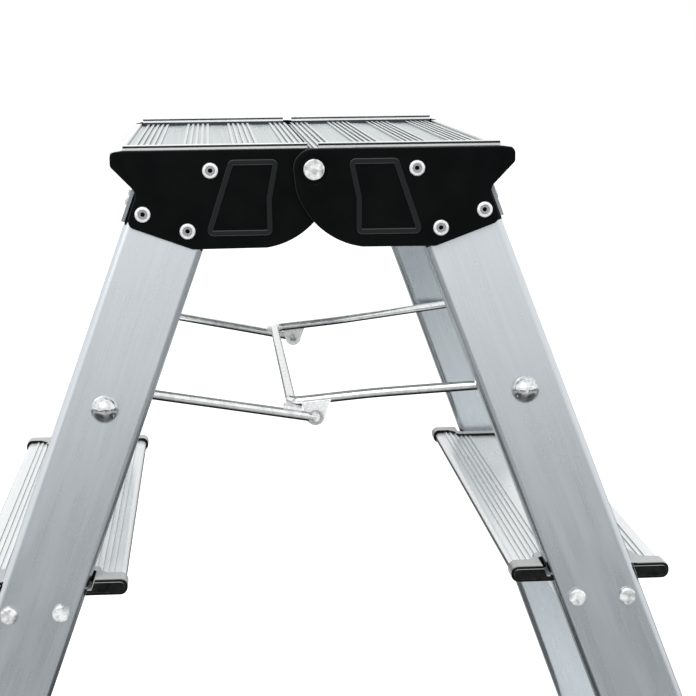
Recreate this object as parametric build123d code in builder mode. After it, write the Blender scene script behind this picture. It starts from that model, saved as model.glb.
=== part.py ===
from build123d import *
import os
from math import cos, radians, sin, tan

# A double-sided folding step ladder: two leaning frames meet at a two-part platform, turn on hinge
# pins in black side plates, and are held open by a wire spreader.
# X runs across the ladder, Y along its treads, Z up. The origin is on the floor, at the centre.
# Heights named with "level" are measured from the hinge axis, "end" is -1 at the near end and 1 at
# the far end. Every piece of a frame is drawn for the right frame, and half a turn about Z gives the left.

# Frame
hinge_height = 737.5
lean = 20.2
splay = 6.1
tread_heights = {"upper": 500.0, "lower": 250.0}

# Stiles: rectangular tubes, their centres this far from the hinge axis, square to the frame
stile_offset = 69.0
stile_depth = 48.4
stile_width = 20.0
stile_wall = 2.0
stile_corner = 4.0
stile_y_at_hinge = 165.3
stile_start = -90.0
stile_run = 1080.0

# Lengths of the cuts that make holes: in one wall, in a plate with its pad, and right through a stile
wall_cut = 12.0
plate_cut = 32.0
stile_cut = 144.0

# Platform halves: a ribbed skin, a beaded nose and a skirt down the outer edge of the stiles
deck_half_length = 181.0
deck_gap = 0.6
skin_level = 9.5
skin_thickness = 2.0
nose_x = 117.4
nose_level = 3.0
nose_radius = 3.0
nose_bead_width = 7.0
nose_bead_height = 3.0
nose_bead_corner = 1.3
nose_bead_top = 11.0
skirt_top = 45.0
skirt_end = 65.6
skirt_bend = 2.2
rib_height = 1.2
rib_width = 1.7
rib_pitch = 3.6
rib_half_length = 176.4
rib_groups = ((98.0, 5), (68.0, 5), (38.0, 5), (8.2, 4))
web_positions = (20.0, 38.0)
web_height = 10.0

# Trim strips along the platform ends: a narrow foot, a wider base, a neck and a bead
trim_start = 3.2
trim_length = 106.7
trim_width = 4.4
trim_foot_width = 2.4
trim_foot_height = 2.3
trim_base_height = 1.6
trim_neck_width = 2.0
trim_neck_height = 0.75
trim_bead_width = 3.8
trim_bead_height = 0.8
trim_bead_corner = 0.3

# Side plates: at each end one plate lies outside the other
plate_thickness = 4.0
plate_fronts = {"outer": 190.0, "inner": 185.7}
plate_top = 12.0
plate_shoulder_x = 110.0
plate_wing_x = 117.3
plate_wing_top = 10.9
plate_wing_level = 3.0
plate_neck = (102.4, -12.4)
plate_edge_offset = 91.7
plate_end = 67.2
plate_bottom = -45.3
plate_bottom_offset = 50.6
plate_curve_start = 27.8
plate_curve_middle = (2.0, -32.8)
plate_curve_end = (-10.5, -11.9)
plate_corner_radii = (3.0, 3.5, 3.0, 6.0, 5.0, 4.0)
plate_edge_round = 0.8
wing_step = 0.8
wing_crease = ((113.2, 13.0), (104.2, -9.7))
wing_margin = 2.0
boss_radius = 12.0
ring_radius = 8.6
ring_depth = 1.0
panel_points = ((19.8, 6.1), (48.8, 6.1), (63.4, -37.9), (24.2, -37.9), (24.4, -17.0))
panel_corner = 3.6
ridge_width = 3.2
ridge_height = 1.0
ridge_round = 0.6
backing_start = 24.0
backing_end = 109.0
backing_bottom = -4.0
pad_inner_face = 177.0
pad_margin = 0.5
pad_level = 7.3

# Blind rivets: places in the frame are offset from the hinge axis and distance down the stile
plate_rivet_places = ((56.1, 20.6), (57.0, 58.1), (84.6, 57.4))
rivet_head_radius = 4.6
rivet_head_height = 1.6
rivet_rim_height = 0.9
rivet_swell = (4.2, 1.4)
rivet_crown_radius = 3.6
rivet_dish_radius = 2.9
rivet_dish_depth = 0.5
rivet_shank_radius = 2.4
rivet_hole_radius = 2.5
rivet_bulb_radius = 3.1
rivet_bulb_length = 6.0
rivet_bulb_gap = 0.6
mandrel_radius = 1.45
mandrel_depth = 1.5
skirt_rivet_down = 52.0
foot_rivet_up = 22.0

# Hinge pins
pin_radius = 3.0
pin_clearance = 0.1
pin_head_radius = 6.1
pin_head_height = 1.8
pin_head_round = 0.6
pin_play = 0.3
pin_washer_radius = 6.0
pin_washer_thickness = 1.2
pin_end_radius = 4.6
pin_end_height = 2.2

# Treads: thin extruded planks, notched around the stiles, with a stiffening box under them
tread_depth = 92.0
plank_thickness = 8.0
tread_skin = 2.0
tread_leg = 1.6
tread_nose = 3.5
plank_inside_round = 1.5
tread_rib_height = 0.8
tread_rib_width = 1.6
tread_rib_pitch = 3.5
tread_rib_count = 6
tread_rib_start = 8.0
box_width = 42.0
box_depth = 27.0
box_reach = 6.0
channel_offset = 15.0
channel_level = -17.5
channel_radius = 5.0

# Tread caps: a closed end with a raised pad, a collar on the plank and a sleeve around the stile
cap_setback = 1.0
cap_length = 14.0
cap_rim = 1.5
cap_height = 10.0
cap_corner = 4.5
cap_round = 1.2
pad_inset = 1.9
pad_height = 0.8
pad_round = 0.4
collar_reach = 29.0
collar_base = 10.0
collar_side = 5.0
collar_lead = 6.0
collar_bend = 4.0
collar_round = 0.6
sleeve_wall = 3.0
slot_gap = 2.4
slot_depth = 5.0

# Tread screws
screw_radius = 2.5
screw_hole_radius = 2.6
screw_head_radius = 5.0
screw_head_height = 3.0
screw_head_round = 1.0
screw_head_gap = 0.45
screw_grip = 16.0

# Feet
foot_wall = 3.0
foot_sole = 6.0
foot_height = 42.0
foot_groove_width = 3.0
foot_groove_length = 72.0
foot_groove_depth = 1.5
foot_groove_pitch = 9.0
foot_groove_count = 5

# Wire spreader: a bail turns in the right stiles, one rod in each left stile
wire_radius = 3.0
bail_pivot = (70.2, 165.6)
rod_pivot = (69.1, 171.2)
pivot_hole_radius = 3.1
bail_pivot_y = 168.9
bail_corner = (-13.6, -143.9)
bail_corner_y = 149.0
bail_bow_share = 0.35
bail_bow_y = 150.0
rod_pivot_y = 169.3
rod_crank = (-100.0, -133.5)
rod_crank_y = 166.6
knee = (0.8, -152.3)
knee_y = 156.6
wire_bend = 4.0
bail_bend = 7.0
bow_bend = 120.0
crank_bend = 20.0
lug_thickness = 2.0
lug_outer_face = 153.1
lug_lap = 1.0
lug_half_width = 7.5
lug_shoulder = 10.5
lug_radius = 5.8
knee_radius = 1.5
knee_head_radius = 2.7
knee_head_height = 1.2
eye_radius = 4.6
eye_thickness = 3.0
tab_length = 11.2
tab_thickness = 1.6
tab_inner_face = 149.5
tab_outer_face = 160.5
weld_gap = 0.05
dome_radius = 8.0
dome_height = 6.5
dome_rim = 0.8
dome_gap = 0.95
dome_socket_depth = 4.5
wire_end_depth = 4.2

os.makedirs("parts", exist_ok=True)

lean_sin = sin(radians(lean))
lean_cos = cos(radians(lean))
splay_sin = sin(radians(splay))
splay_cos = cos(radians(splay))
splay_tan = tan(radians(splay))
stile_half_width = stile_width / 2 / splay_cos
outward_normal = (lean_cos, 0, lean_sin)
outward = (Align.CENTER, Align.CENTER, Align.MIN)
inward = (Align.CENTER, Align.CENTER, Align.MAX)


def save(part, name):
    """Label a finished piece and write its file."""
    part.label = name
    export_step(part, f"parts/{name}.step")


def frame_point(offset_out, down):
    """Give x and level of a place in the leaning frame."""
    return (offset_out * lean_cos + down * lean_sin, offset_out * lean_sin - down * lean_cos)


def centre_x(level):
    """Give x of the stile's centre plane at a level."""
    return (stile_offset - level * lean_sin) / lean_cos


def stile_outer_face(down):
    """Give the distance of the stile's outer face from the middle of the ladder."""
    return stile_y_at_hinge + down * splay_tan + stile_half_width


def stile_inner_face(down):
    """Give the distance of the stile's inner face from the middle of the ladder."""
    return stile_y_at_hinge + down * splay_tan - stile_half_width


def side_plane(y):
    """Give an upright plane across the ladder, its origin on the hinge axis, facing the near end."""
    return Plane(origin=(0, y, hinge_height), x_dir=(1, 0, 0), z_dir=(0, -1, 0))


def end_plane(x, y, level, end):
    """Give a plane square to Y that faces out of the given end."""
    return Plane(origin=(x, y, hinge_height + level), x_dir=(1, 0, 0), z_dir=(0, end, 0))


def stile_plane(end, down):
    """Give the plane square to a stile at a distance down from the hinge."""
    x, level = frame_point(stile_offset, 0)
    direction = (lean_sin * splay_cos, end * splay_sin, -lean_cos * splay_cos)
    origin = (x, end * stile_y_at_hinge, hinge_height + level)
    return Plane(origin=origin, x_dir=outward_normal, z_dir=direction).offset(down / splay_cos)


def skirt_rivet_plane(end):
    """Give the place of a rivet on the stile's outer narrow side, through the platform's skirt."""
    x, level = frame_point(stile_offset + stile_depth / 2 + skin_thickness, skirt_rivet_down)
    y = end * (stile_y_at_hinge + skirt_rivet_down * splay_tan)
    return Plane(origin=(x, y, hinge_height + level), x_dir=(0, 1, 0), z_dir=outward_normal)


def foot_rivet_plane(end):
    """Give the place of a rivet on the foot's outer narrow side."""
    down = (hinge_height - foot_rivet_up) / lean_cos + stile_offset * lean_sin / lean_cos
    x, level = frame_point(stile_offset + stile_depth / 2 + foot_wall, down)
    y = end * (stile_y_at_hinge + down * splay_tan)
    return Plane(origin=(x, y, hinge_height + level), x_dir=(0, 1, 0), z_dir=outward_normal)


def tread_screw_points(top):
    """Give x and level of the two screws at each end of a tread."""
    level = top - hinge_height + channel_level
    return [(centre_x(level) + side * channel_offset, level) for side in (-1, 1)]


def stile_envelope(end, margin):
    """Give the stile's outer form, grown by a margin, as one long solid for cutting its neighbours."""
    with BuildPart() as envelope:
        with BuildSketch(stile_plane(end, stile_start)):
            RectangleRounded(stile_depth + 2 * margin, stile_width + 2 * margin, stile_corner + margin)
        extrude(amount=stile_run)
    return envelope.part


envelopes = {end: stile_envelope(end, 0) for end in (-1, 1)}
sleeve_envelopes = {end: stile_envelope(end, sleeve_wall) for end in (-1, 1)}


def make_stile(end, pivot):
    """Make a stile tube with its holes."""
    with BuildPart() as stile:
        with BuildSketch(stile_plane(end, stile_start)):
            RectangleRounded(stile_depth, stile_width, stile_corner)
            offset(amount=-stile_wall, mode=Mode.SUBTRACT)
        extrude(amount=stile_run)
        split(bisect_by=Plane.XY.offset(hinge_height + skin_level - skin_thickness), keep=Keep.BOTTOM)
        split(bisect_by=Plane.XY.offset(foot_sole), keep=Keep.TOP)
        for offset_out, down in plate_rivet_places:
            x, level = frame_point(offset_out, down)
            with Locations(end_plane(x, end * stile_outer_face(down), level, end)):
                Cylinder(rivet_hole_radius, wall_cut, mode=Mode.SUBTRACT)
        x, level = frame_point(*pivot)
        with Locations(end_plane(x, end * stile_outer_face(pivot[1]), level, end)):
            Cylinder(pivot_hole_radius, stile_cut, mode=Mode.SUBTRACT)
        for top in tread_heights.values():
            for x, level in tread_screw_points(top):
                with Locations(end_plane(x, end * stile_y_at_hinge, level, end)):
                    Cylinder(screw_hole_radius, stile_cut, mode=Mode.SUBTRACT)
        with Locations(skirt_rivet_plane(end), foot_rivet_plane(end)):
            Cylinder(rivet_hole_radius, wall_cut, mode=Mode.SUBTRACT)
    return stile.part


def make_deck():
    """Make a platform half with its ribs, nose, skirt and stiffening webs."""
    skirt_offset = stile_offset + stile_depth / 2 + skin_thickness
    path = (
        (deck_gap, skin_level),
        (nose_x, skin_level),
        (nose_x, nose_level),
        frame_point(skirt_offset, skirt_top),
        frame_point(skirt_offset, skirt_end),
    )
    web_level = skin_level - skin_thickness - web_height / 2
    rib_places = [
        (middle + (index - (count - 1) / 2) * rib_pitch, skin_level + rib_height / 2)
        for middle, count in rib_groups
        for index in range(count)
    ]
    with BuildPart() as deck:
        with BuildSketch(side_plane(deck_half_length)):
            with BuildLine():
                FilletPolyline(*path, radius=(nose_radius, skirt_bend, skirt_bend))
                offset(amount=skin_thickness, side=Side.RIGHT)
            make_face()
            with Locations(*[(x, web_level) for x in web_positions]):
                Rectangle(skin_thickness, web_height)
            with Locations((nose_x - nose_bead_width / 2, nose_bead_top - nose_bead_height / 2)):
                RectangleRounded(nose_bead_width, nose_bead_height, nose_bead_corner)
        extrude(amount=2 * deck_half_length)
        with BuildSketch(side_plane(rib_half_length)):
            with Locations(*rib_places):
                Rectangle(rib_width, rib_height)
        extrude(amount=2 * rib_half_length)
        with Locations(skirt_rivet_plane(-1), skirt_rivet_plane(1)):
            Cylinder(rivet_hole_radius, wall_cut, mode=Mode.SUBTRACT)
    return deck.part


def make_trim(end):
    """Make the beaded strip along one end of a platform half."""
    y = end * (deck_half_length - trim_width / 2)
    foot_level = hinge_height + skin_level
    base_level = foot_level + trim_foot_height
    neck_level = base_level + trim_base_height
    bead_level = neck_level + trim_neck_height
    with BuildPart() as trim:
        with BuildSketch(Plane.YZ.offset(trim_start)):
            with Locations((y, foot_level + trim_foot_height / 2)):
                Rectangle(trim_foot_width, trim_foot_height)
            with Locations((y, base_level + trim_base_height / 2)):
                Rectangle(trim_width, trim_base_height)
            with Locations((y, neck_level + trim_neck_height / 2)):
                Rectangle(trim_neck_width, trim_neck_height)
            with Locations((y, bead_level + trim_bead_height / 2)):
                RectangleRounded(trim_bead_width, trim_bead_height, trim_bead_corner)
        extrude(amount=trim_length)
    return trim.part


def make_side_plate(end, kind):
    """Make a side plate: its outline, hinge boss, raised panel frame, wing step and rivet holes."""
    front = plate_fronts[kind]
    back = front - plate_thickness
    outline = (
        (0, plate_top),
        (plate_shoulder_x, plate_top),
        (plate_wing_x, plate_wing_top),
        (plate_wing_x, plate_wing_level),
        plate_neck,
        frame_point(plate_edge_offset, plate_end),
        frame_point(plate_bottom_offset, plate_end),
        (plate_curve_start, plate_bottom),
    )
    pad_reach = stile_depth / 2 - pad_margin
    pad_end = plate_end - pad_margin
    pad = (
        (centre_x(pad_level) - pad_reach / lean_cos, pad_level),
        (centre_x(pad_level) + pad_reach / lean_cos, pad_level),
        frame_point(stile_offset + pad_reach, pad_end),
        frame_point(stile_offset - pad_reach, pad_end),
    )
    wing = (
        wing_crease[0],
        (plate_wing_x + wing_margin, plate_top + wing_margin),
        (plate_wing_x + wing_margin, plate_neck[1]),
        wing_crease[1],
    )
    outermost = -1 if end > 0 else 0
    with BuildPart() as plate:
        with BuildSketch(side_plane(end * back)):
            with BuildLine():
                FilletPolyline(*outline, radius=plate_corner_radii)
                ThreePointArc(outline[-1], plate_curve_middle, plate_curve_end)
                Line(plate_curve_end, (-boss_radius, 0))
                RadiusArc((-boss_radius, 0), (0, boss_radius), boss_radius)
            make_face()
        extrude(amount=-end * plate_thickness)
        fillet(plate.faces().sort_by(Axis.Y)[outermost].edges(), plate_edge_round)
        if kind == "outer":
            with BuildSketch(side_plane(end * back)):
                with Locations(((backing_start + backing_end) / 2, (backing_bottom + plate_top) / 2)):
                    Rectangle(backing_end - backing_start, plate_top - backing_bottom)
            extrude(amount=end * (back - deck_half_length - pin_play))
        with BuildSketch(side_plane(end * back)):
            Polygon(*pad, align=None)
        extrude(amount=end * (back - pad_inner_face))
        with BuildSketch(side_plane(end * (front - wing_step))):
            Polygon(*wing, align=None)
        extrude(amount=-end * 2 * wing_step, mode=Mode.SUBTRACT)
        with BuildSketch(side_plane(end * front)):
            Polygon(*panel_points, align=None)
            fillet(vertices(), panel_corner)
            offset(amount=-ridge_width, mode=Mode.SUBTRACT)
        extrude(amount=-end * ridge_height)
        fillet(plate.faces().sort_by(Axis.Y)[outermost].edges(), ridge_round)
        add(envelopes[end], mode=Mode.SUBTRACT)
        for offset_out, down in plate_rivet_places:
            x, level = frame_point(offset_out, down)
            with Locations(end_plane(x, end * front, level, end)):
                Cylinder(rivet_hole_radius, plate_cut, mode=Mode.SUBTRACT)
        with Locations(end_plane(0, end * front, 0, end)):
            Cylinder(pin_radius + pin_clearance, plate_cut, mode=Mode.SUBTRACT)
            if kind == "outer":
                Cylinder(ring_radius, 2 * ring_depth, mode=Mode.SUBTRACT)
    return plate.part


def make_blind_rivet(grip):
    """Make one set blind rivet: a dished head with its mandrel hole, a shank and the bulb behind."""
    bulb_top = -grip - rivet_bulb_gap
    bulb_end = bulb_top - rivet_bulb_length
    dish_height = rivet_head_height - rivet_dish_depth
    with BuildPart() as rivet:
        with BuildSketch(Plane.XZ):
            with BuildLine():
                Polyline(
                    (0, rivet_head_height - mandrel_depth),
                    (0, bulb_end),
                    (rivet_bulb_radius, bulb_end),
                    (rivet_bulb_radius, bulb_top),
                    (rivet_shank_radius, bulb_top),
                    (rivet_shank_radius, 0),
                    (rivet_head_radius, 0),
                    (rivet_head_radius, rivet_rim_height),
                )
                crown = (rivet_crown_radius, rivet_head_height)
                ThreePointArc((rivet_head_radius, rivet_rim_height), rivet_swell, crown)
                Polyline(
                    crown,
                    (rivet_dish_radius, rivet_head_height),
                    (rivet_dish_radius, dish_height),
                    (mandrel_radius, dish_height),
                    (mandrel_radius, rivet_head_height - mandrel_depth),
                    (0, rivet_head_height - mandrel_depth),
                )
            make_face()
        revolve(axis=Axis.Z)
    return rivet.part


def make_plate_rivets():
    """Make the rivets that hold both side plates of a frame to its stiles."""
    with BuildPart() as rivets:
        for end, kind in ((-1, "outer"), (1, "inner")):
            for offset_out, down in plate_rivet_places:
                x, level = frame_point(offset_out, down)
                grip = plate_fronts[kind] - stile_outer_face(down) + stile_wall
                with Locations(end_plane(x, end * plate_fronts[kind], level, end)):
                    add(make_blind_rivet(grip))
    return rivets.part


def make_rivet_pair(places, grip):
    """Make two like rivets on the outer narrow side of a frame's stiles."""
    with BuildPart() as rivets:
        with Locations(*places):
            add(make_blind_rivet(grip))
    return rivets.part


def tread_down(top):
    """Give the distance down the stiles to the top of a tread."""
    return (stile_offset * lean_sin + hinge_height - top) / lean_cos


def cap_front(top):
    """Give the distance of a tread cap's end face from the middle of the ladder."""
    return stile_outer_face(tread_down(top)) - cap_setback


def plank_half_length(top):
    """Give half the length of a tread plank."""
    return cap_front(top) - cap_length


def make_plank(top):
    """Make a tread's plank: a thin hollow section with a ribbed skin, notched around both stiles."""
    level = top - hinge_height
    middle = centre_x(level)
    half_length = plank_half_length(top)
    body_height = plank_thickness - tread_rib_height
    inside_height = body_height - 2 * tread_skin
    body_level = level - tread_rib_height - body_height / 2
    first_rib = tread_depth / 2 - tread_rib_start
    rib_places = [
        (middle + side * (first_rib - index * tread_rib_pitch), level - tread_rib_height / 2)
        for side in (-1, 1)
        for index in range(tread_rib_count)
    ]
    web_reach = (box_width - tread_leg) / 2
    web_places = [(centre_x(level + channel_level) + side * web_reach, body_level) for side in (-1, 1)]
    with BuildPart() as plank:
        with BuildSketch(side_plane(half_length)):
            with Locations((middle, body_level)):
                RectangleRounded(tread_depth, body_height, tread_nose)
                RectangleRounded(
                    tread_depth - 2 * tread_leg, inside_height, plank_inside_round, mode=Mode.SUBTRACT
                )
            with Locations(*web_places):
                Rectangle(tread_leg, inside_height)
            with Locations(*rib_places):
                Rectangle(tread_rib_width, tread_rib_height)
        extrude(amount=2 * half_length)
        for envelope in sleeve_envelopes.values():
            add(envelope, mode=Mode.SUBTRACT)
    return plank.part


def make_tread(top):
    """Make a tread: its plank and, under it, a box that meets the stiles and holds two screw channels."""
    channels = tread_screw_points(top)
    middle = (channels[0][0] + channels[1][0]) / 2
    box_top = top - hinge_height - plank_thickness
    box_height = box_depth - plank_thickness
    inside_height = box_height - tread_leg
    half_length = stile_inner_face(tread_down(top)) + box_reach
    with BuildPart() as tread:
        with BuildSketch(side_plane(half_length)):
            with Locations((middle, box_top - box_height / 2)):
                Rectangle(box_width, box_height)
            with Locations((middle, box_top - inside_height / 2)):
                Rectangle(box_width - 2 * tread_leg, inside_height, mode=Mode.SUBTRACT)
            with Locations(*channels):
                Circle(channel_radius)
                Circle(screw_hole_radius, mode=Mode.SUBTRACT)
        extrude(amount=2 * half_length)
        for envelope in envelopes.values():
            add(envelope, mode=Mode.SUBTRACT)
        add(make_plank(top))
    return tread.part


def make_cap_sleeve(top, end):
    """Make the sleeve of a tread cap: it fills the plank's notch around the stile."""
    with BuildPart() as sleeve:
        add(sleeve_envelopes[end])
        split(bisect_by=Plane.XY.offset(top + cap_rim), keep=Keep.BOTTOM)
        split(bisect_by=Plane.XY.offset(top - plank_thickness), keep=Keep.TOP)
        split(bisect_by=Plane(origin=(0, end * cap_front(top), 0), z_dir=(0, end, 0)), keep=Keep.BOTTOM)
    return sleeve.part


def make_cap_slot(top, end):
    """Give the form of the slot between a tread cap and the inner narrow side of its stile, open outwards."""
    with BuildPart() as slot:
        for shift in (0, end * stile_half_width):
            add(envelopes[end].moved(Location((-slot_gap, shift, 0))))
        split(bisect_by=Plane.XY.offset(top - slot_depth), keep=Keep.TOP)
    return slot.part


def make_collar(top, end):
    """Make the collar of a tread cap: a thin plate on the plank that narrows behind the stile."""
    middle = centre_x(top - hinge_height)
    start = plank_half_length(top)
    stile_edge = stile_depth / 2 / lean_cos
    edge = (
        (stile_edge + collar_base, start + cap_length / 2),
        (stile_edge + collar_base, start),
        (stile_edge + collar_side, start - collar_lead),
        (stile_edge + collar_side, cap_front(top) - collar_reach),
    )
    right_edge = [(middle + x, end * y) for x, y in edge]
    left_edge = [(middle - x, end * y) for x, y in reversed(edge)]
    with BuildPart() as collar:
        with BuildSketch(Plane.XY.offset(top)):
            with BuildLine():
                FilletPolyline(*right_edge, *left_edge, radius=collar_bend)
                Line(left_edge[-1], right_edge[0])
            make_face()
        extrude(amount=cap_rim)
        fillet(collar.faces().sort_by(Axis.Z)[-1].edges(), collar_round)
    return collar.part


def make_tread_cap(top, end):
    """Make the cap on one end of a tread, with its pad, collar and sleeve, slotted for the stile."""
    level = top - hinge_height
    centre = (centre_x(level), level + cap_rim - cap_height / 2)
    cap_width = tread_depth + 2 * cap_rim
    pad_width = cap_width - 2 * pad_inset
    outermost = -1 if end > 0 else 0
    with BuildPart() as cap:
        with BuildSketch(side_plane(end * plank_half_length(top))):
            with Locations(centre):
                RectangleRounded(cap_width, cap_height, cap_corner)
        extrude(amount=-end * cap_length)
        fillet(cap.faces().sort_by(Axis.Y)[outermost].edges(), cap_round)
        with BuildSketch(side_plane(end * cap_front(top))):
            with Locations(centre):
                RectangleRounded(pad_width, cap_height - 2 * pad_inset, cap_corner - pad_inset)
        extrude(amount=-end * pad_height)
        fillet(cap.faces().sort_by(Axis.Y)[outermost].edges(), pad_round)
        add(make_collar(top, end))
        add(make_cap_sleeve(top, end))
        for shift in (0, end * stile_half_width):
            add(envelopes[end].moved(Location((0, shift, 0))), mode=Mode.SUBTRACT)
        add(make_cap_slot(top, end), mode=Mode.SUBTRACT)
    return cap.part


def make_tread_screws():
    """Make the screws that run through the stiles into the screw channels of both treads."""
    with BuildPart() as screws:
        for top in tread_heights.values():
            for end in (-1, 1):
                for x, level in tread_screw_points(top):
                    down = x * lean_sin - level * lean_cos
                    face = stile_outer_face(down) + screw_head_gap
                    shank = 2 * stile_half_width + screw_grip
                    with Locations(end_plane(x, end * face, level, end)):
                        Cylinder(screw_head_radius, screw_head_height, align=outward)
                        Cylinder(screw_radius, shank, align=inward)
        circles = screws.edges().filter_by(GeomType.CIRCLE)
        fillet(circles.filter_by(lambda edge: edge.radius == screw_head_radius), screw_head_round)
    return screws.part


def make_foot_core(end):
    """Give the stile's outer form down to the top of the foot's sole."""
    with BuildPart() as core:
        add(envelopes[end])
        split(bisect_by=Plane.XY.offset(foot_sole), keep=Keep.TOP)
    return core.part


def make_foot(end):
    """Make a foot that wraps the end of a stile, cut flat at the floor and grooved across its sole."""
    foot_down = (stile_offset * lean_sin + hinge_height) / lean_cos
    x, level = frame_point(stile_offset, foot_down)
    y = end * (stile_y_at_hinge + foot_down * splay_tan)
    with BuildPart() as foot:
        with BuildSketch(stile_plane(end, foot_down - foot_height)):
            RectangleRounded(stile_depth, stile_width, stile_corner)
            offset(amount=foot_wall)
        extrude(amount=2 * foot_height)
        split(bisect_by=Plane.XY, keep=Keep.TOP)
        add(make_foot_core(end), mode=Mode.SUBTRACT)
        with Locations((x, y, 0)):
            with GridLocations(foot_groove_pitch, 0, foot_groove_count, 1):
                Box(foot_groove_width, foot_groove_length, 2 * foot_groove_depth, mode=Mode.SUBTRACT)
        with Locations(foot_rivet_plane(end)):
            Cylinder(rivet_hole_radius, wall_cut, mode=Mode.SUBTRACT)
    return foot.part


def make_hinge_pin(end):
    """Make a hinge pin: a flat head outside, a washer and a riveted end inside."""
    floor = plate_fronts["outer"] - ring_depth + pin_play
    washer_face = plate_fronts["inner"] - plate_thickness - pin_play
    end_face = washer_face - pin_washer_thickness
    with BuildPart() as pin:
        with Locations(end_plane(0, end * floor, 0, end)):
            Cylinder(pin_head_radius, pin_head_height, align=outward)
            Cylinder(pin_radius, floor - end_face, align=inward)
        with Locations(end_plane(0, end * end_face, 0, end)):
            Cylinder(pin_end_radius, pin_end_height, align=inward)
        rim = pin.edges().filter_by(GeomType.CIRCLE).filter_by(lambda edge: edge.radius == pin_head_radius)
        fillet(rim.sort_by(Axis.Y)[-1 if end > 0 else 0], pin_head_round)
    return pin.part


def make_hinge_washers():
    """Make the washers under the riveted ends of the hinge pins."""
    washer_face = plate_fronts["inner"] - plate_thickness - pin_play
    with BuildPart() as washers:
        for end in (-1, 1):
            with Locations(end_plane(0, end * washer_face, 0, end)):
                Cylinder(pin_washer_radius, pin_washer_thickness, align=inward)
                Cylinder(pin_radius, wall_cut, mode=Mode.SUBTRACT)
    return washers.part


def make_dome_cap():
    """Make one push-on dome cap, a piece of a ball, with its socket for a wire end."""
    rim = (dome_radius, dome_rim)
    crown = (0, dome_height)
    rise = dome_height - dome_rim
    ball_radius = (dome_radius**2 + rise**2) / (2 * rise)
    socket_radius = wire_radius + weld_gap
    with BuildPart() as cap:
        with BuildSketch(Plane.XZ):
            with BuildLine():
                Polyline(
                    crown,
                    (0, dome_socket_depth),
                    (socket_radius, dome_socket_depth),
                    (socket_radius, 0),
                    (dome_radius, 0),
                    rim,
                )
                RadiusArc(rim, crown, -ball_radius)
            make_face()
        revolve(axis=Axis.Z)
    return cap.part


def make_dome_caps(x, level, down, ends):
    """Make the dome caps on the wire ends outside the stiles."""
    base = stile_outer_face(down) + dome_gap
    with BuildPart() as caps:
        with Locations(*[end_plane(x, end * base, level, end) for end in ends]):
            add(make_dome_cap())
    return caps.part


def make_bail(radius):
    """Make the bail at a radius: one bent wire from stile to stile, its legs bowed in to the crossbar."""
    x, level = frame_point(*bail_pivot)
    wire_end = stile_outer_face(bail_pivot[1]) + dome_gap + wire_end_depth
    pivot_z = hinge_height + level
    corner_x = bail_corner[0]
    corner_z = hinge_height + bail_corner[1]
    bow_x = corner_x + (x - corner_x) * bail_bow_share
    bow_z = corner_z + (pivot_z - corner_z) * bail_bow_share
    path = (
        (x, -wire_end, pivot_z),
        (x, -bail_pivot_y, pivot_z),
        (bow_x, -bail_bow_y, bow_z),
        (corner_x, -bail_corner_y, corner_z),
        (corner_x, bail_corner_y, corner_z),
        (bow_x, bail_bow_y, bow_z),
        (x, bail_pivot_y, pivot_z),
        (x, wire_end, pivot_z),
    )
    bends = (wire_bend, bow_bend, bail_bend, bail_bend, bow_bend, wire_bend)
    with BuildPart() as bail:
        with BuildLine():
            FilletPolyline(*path, radius=bends)
        with BuildSketch(Plane(origin=path[0], z_dir=(0, 1, 0))):
            Circle(radius)
        sweep()
    return bail.part


def make_rod(end):
    """Make one rod: a cranked wire from its stile to a flattened eye at the knee."""
    x, level = frame_point(*rod_pivot)
    wire_end = stile_outer_face(rod_pivot[1]) + dome_gap + wire_end_depth
    pivot_z = hinge_height + level
    path = (
        (-x, end * wire_end, pivot_z),
        (-x, end * rod_pivot_y, pivot_z),
        (rod_crank[0], end * rod_crank_y, hinge_height + rod_crank[1]),
        (knee[0], end * knee_y, hinge_height + knee[1]),
    )
    eye_inner_face = knee_y - wire_radius
    with BuildPart() as rod:
        with BuildLine():
            FilletPolyline(*path, radius=(wire_bend, crank_bend))
        with BuildSketch(Plane(origin=path[0], z_dir=(0, -end, 0))):
            Circle(wire_radius)
        sweep()
        with Locations(end_plane(*knee_place(eye_inner_face, end))):
            Cylinder(eye_radius, wall_cut, mode=Mode.SUBTRACT)
            Cylinder(eye_radius, eye_thickness, align=outward)
            Cylinder(knee_radius, wall_cut, mode=Mode.SUBTRACT)
    return rod.part


def knee_place(distance, end):
    """Give x, y, level and end of a place on the knee axis."""
    return (knee[0], end * distance, knee[1], end)


def make_knee_rivet(end):
    """Make the outer half of a knee rivet, in the eye of a rod."""
    eye_outer_face = knee_y - wire_radius + eye_thickness
    with BuildPart() as rivet:
        with Locations(end_plane(*knee_place(eye_outer_face, end))):
            Cylinder(knee_head_radius, knee_head_height, align=outward)
            Cylinder(knee_radius, eye_thickness, align=inward)
    return rivet.part


def make_knee_heads():
    """Make the inner halves of the knee rivets, in the lugs of the bail."""
    lug_inner_face = lug_outer_face - lug_thickness
    with BuildPart() as heads:
        for end in (-1, 1):
            with Locations(end_plane(*knee_place(lug_inner_face, end))):
                Cylinder(knee_head_radius, knee_head_height, align=inward)
                Cylinder(knee_radius, lug_thickness, align=outward)
    return heads.part


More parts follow.
